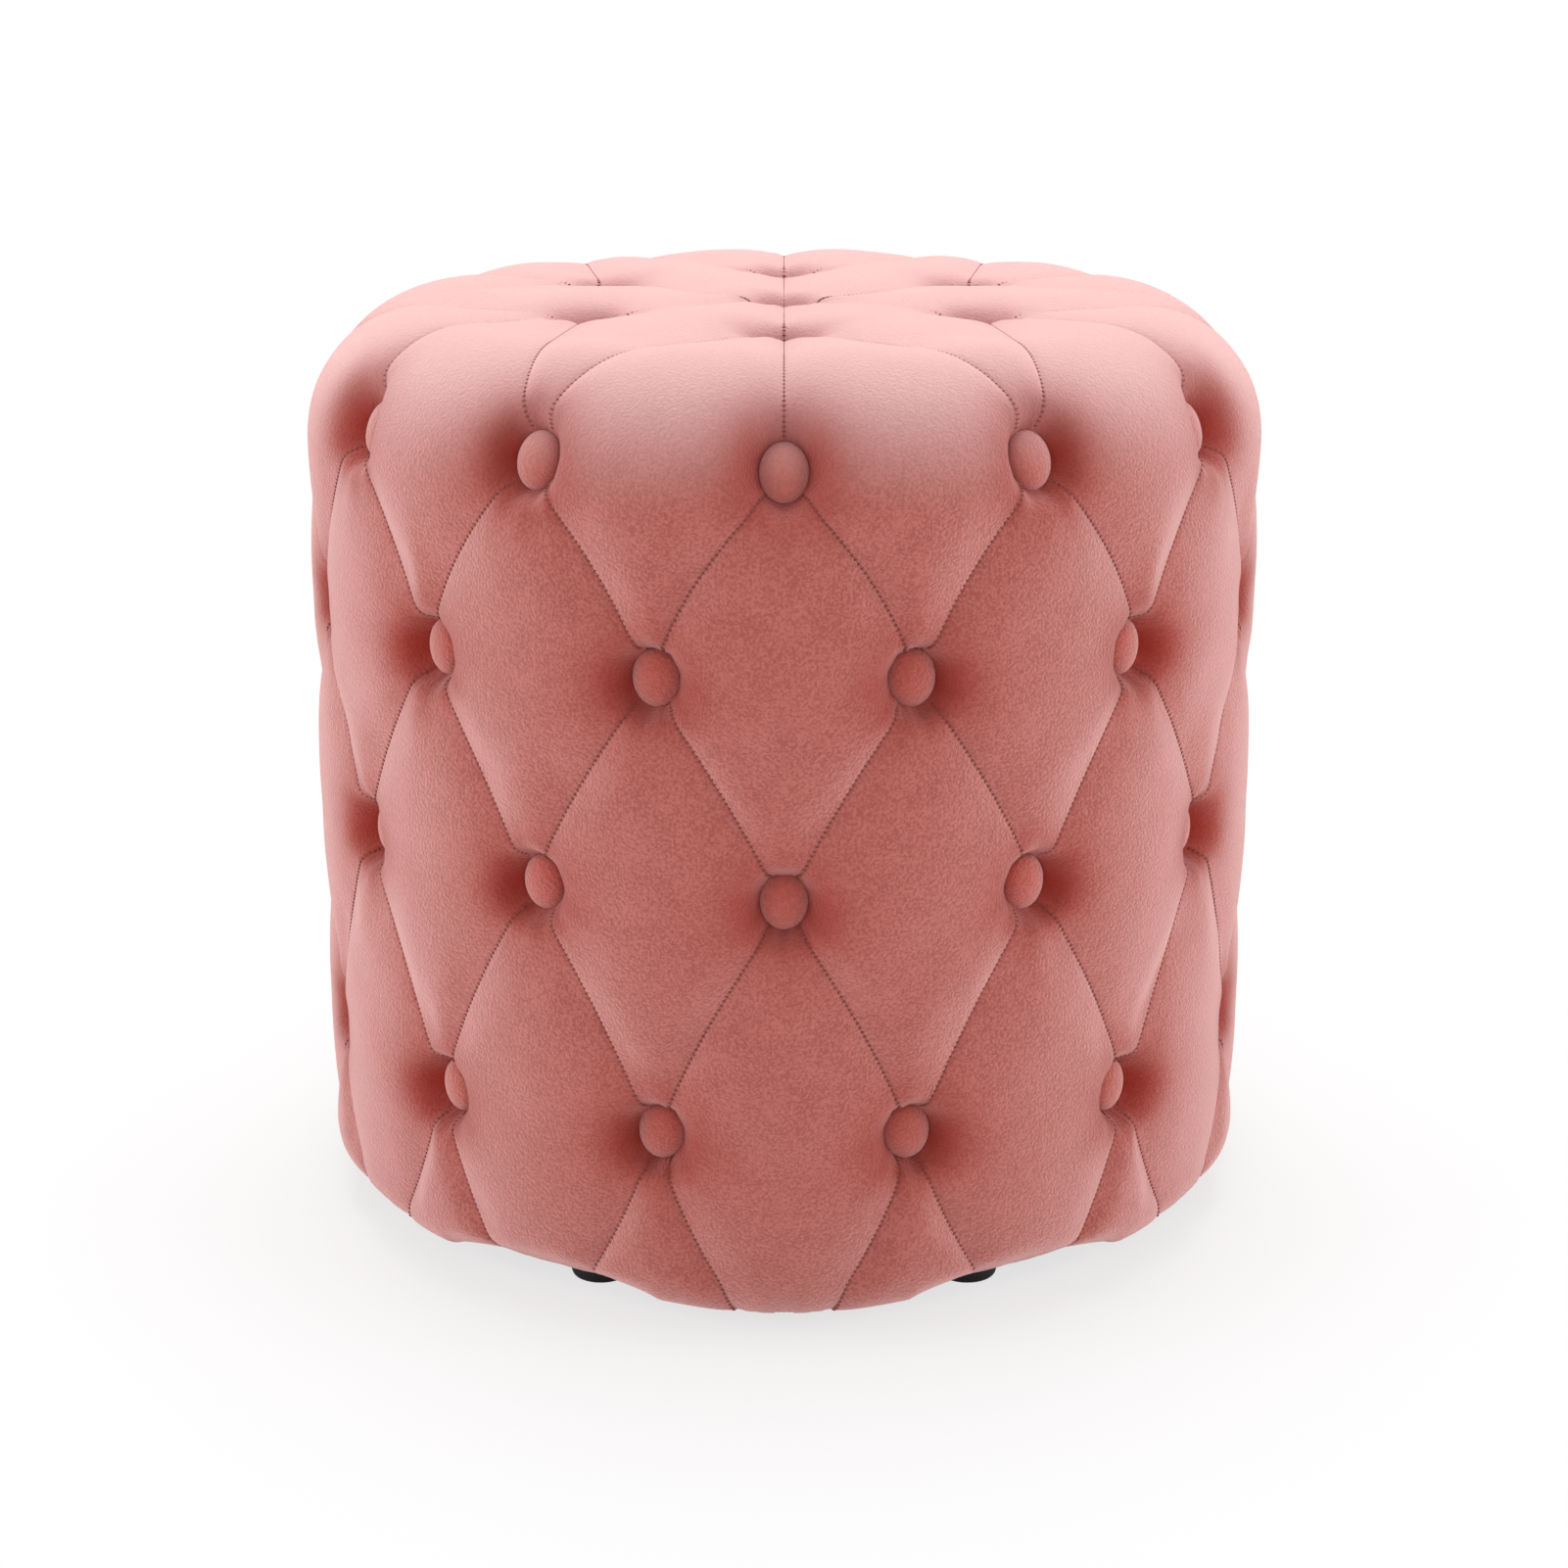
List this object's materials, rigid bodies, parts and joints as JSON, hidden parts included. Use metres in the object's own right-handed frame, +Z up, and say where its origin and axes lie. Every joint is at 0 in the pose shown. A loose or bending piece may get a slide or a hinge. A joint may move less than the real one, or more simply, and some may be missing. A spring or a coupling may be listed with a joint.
{
  "type": "round tufted ottoman",
  "caption": "Round drum ottoman in deep-buttoned velvet, padded diamond panels over side and top, on low black feet; a soft seat or footrest.",
  "frame": {"origin": "on the floor under the middle of the drum", "axes": "+Z up along the axis of the drum, -Y towards the front"},
  "size_m": [0.456, 0.456, 0.439],
  "materials": {
    "velvet": "cut-pile velvet, soft sheen",
    "lining_cloth": "quilted lining",
    "wadding_fibre": "polyester wadding",
    "foam": "open-cell foam",
    "plywood": "plain plywood",
    "softwood": "planed softwood",
    "fibreboard": "bent hardboard",
    "steel": "zinc plated",
    "twine": "waxed nylon twine",
    "washer_plastic": "moulded",
    "foot_plastic": "moulded black, satin gloss",
    "dust_cloth": "spun-bonded black cloth"
  },
  "bodies": {
    "root": {"base_ring": "plywood", "base_screws": "steel", "button_backs": "steel", "button_twine": "twine", "cover_lining": "lining_cloth", "drum_wall": "fibreboard", "dust_cover": "dust_cloth", "dust_cover_staples": "steel", "foot_1": "foot_plastic", "foot_2": "foot_plastic", "foot_3": "foot_plastic", "foot_4": "foot_plastic", "foot_5": "foot_plastic", "foot_6": "foot_plastic", "foot_screws": "steel", "hem_staples": "steel", "post_1": "softwood", "post_2": "softwood", "post_3": "softwood", "post_4": "softwood", "post_5": "softwood", "post_6": "softwood", "side_buttons_row_1": "velvet", "side_buttons_row_2": "velvet", "side_buttons_row_3": "velvet", "side_buttons_row_4": "velvet", "side_foam": "foam", "top_board": "plywood", "top_board_screws": "steel", "top_button_centre": "velvet", "top_buttons_ring": "velvet", "top_foam": "foam", "twine_washers": "washer_plastic", "velvet_panels_hem": "velvet", "velvet_panels_lower": "velvet", "velvet_panels_middle": "velvet", "velvet_panels_shoulder": "velvet", "velvet_panels_top": "velvet", "velvet_panels_upper": "velvet", "wadding": "wadding_fibre", "wall_nails": "steel"}
  },
  "joints": []
}
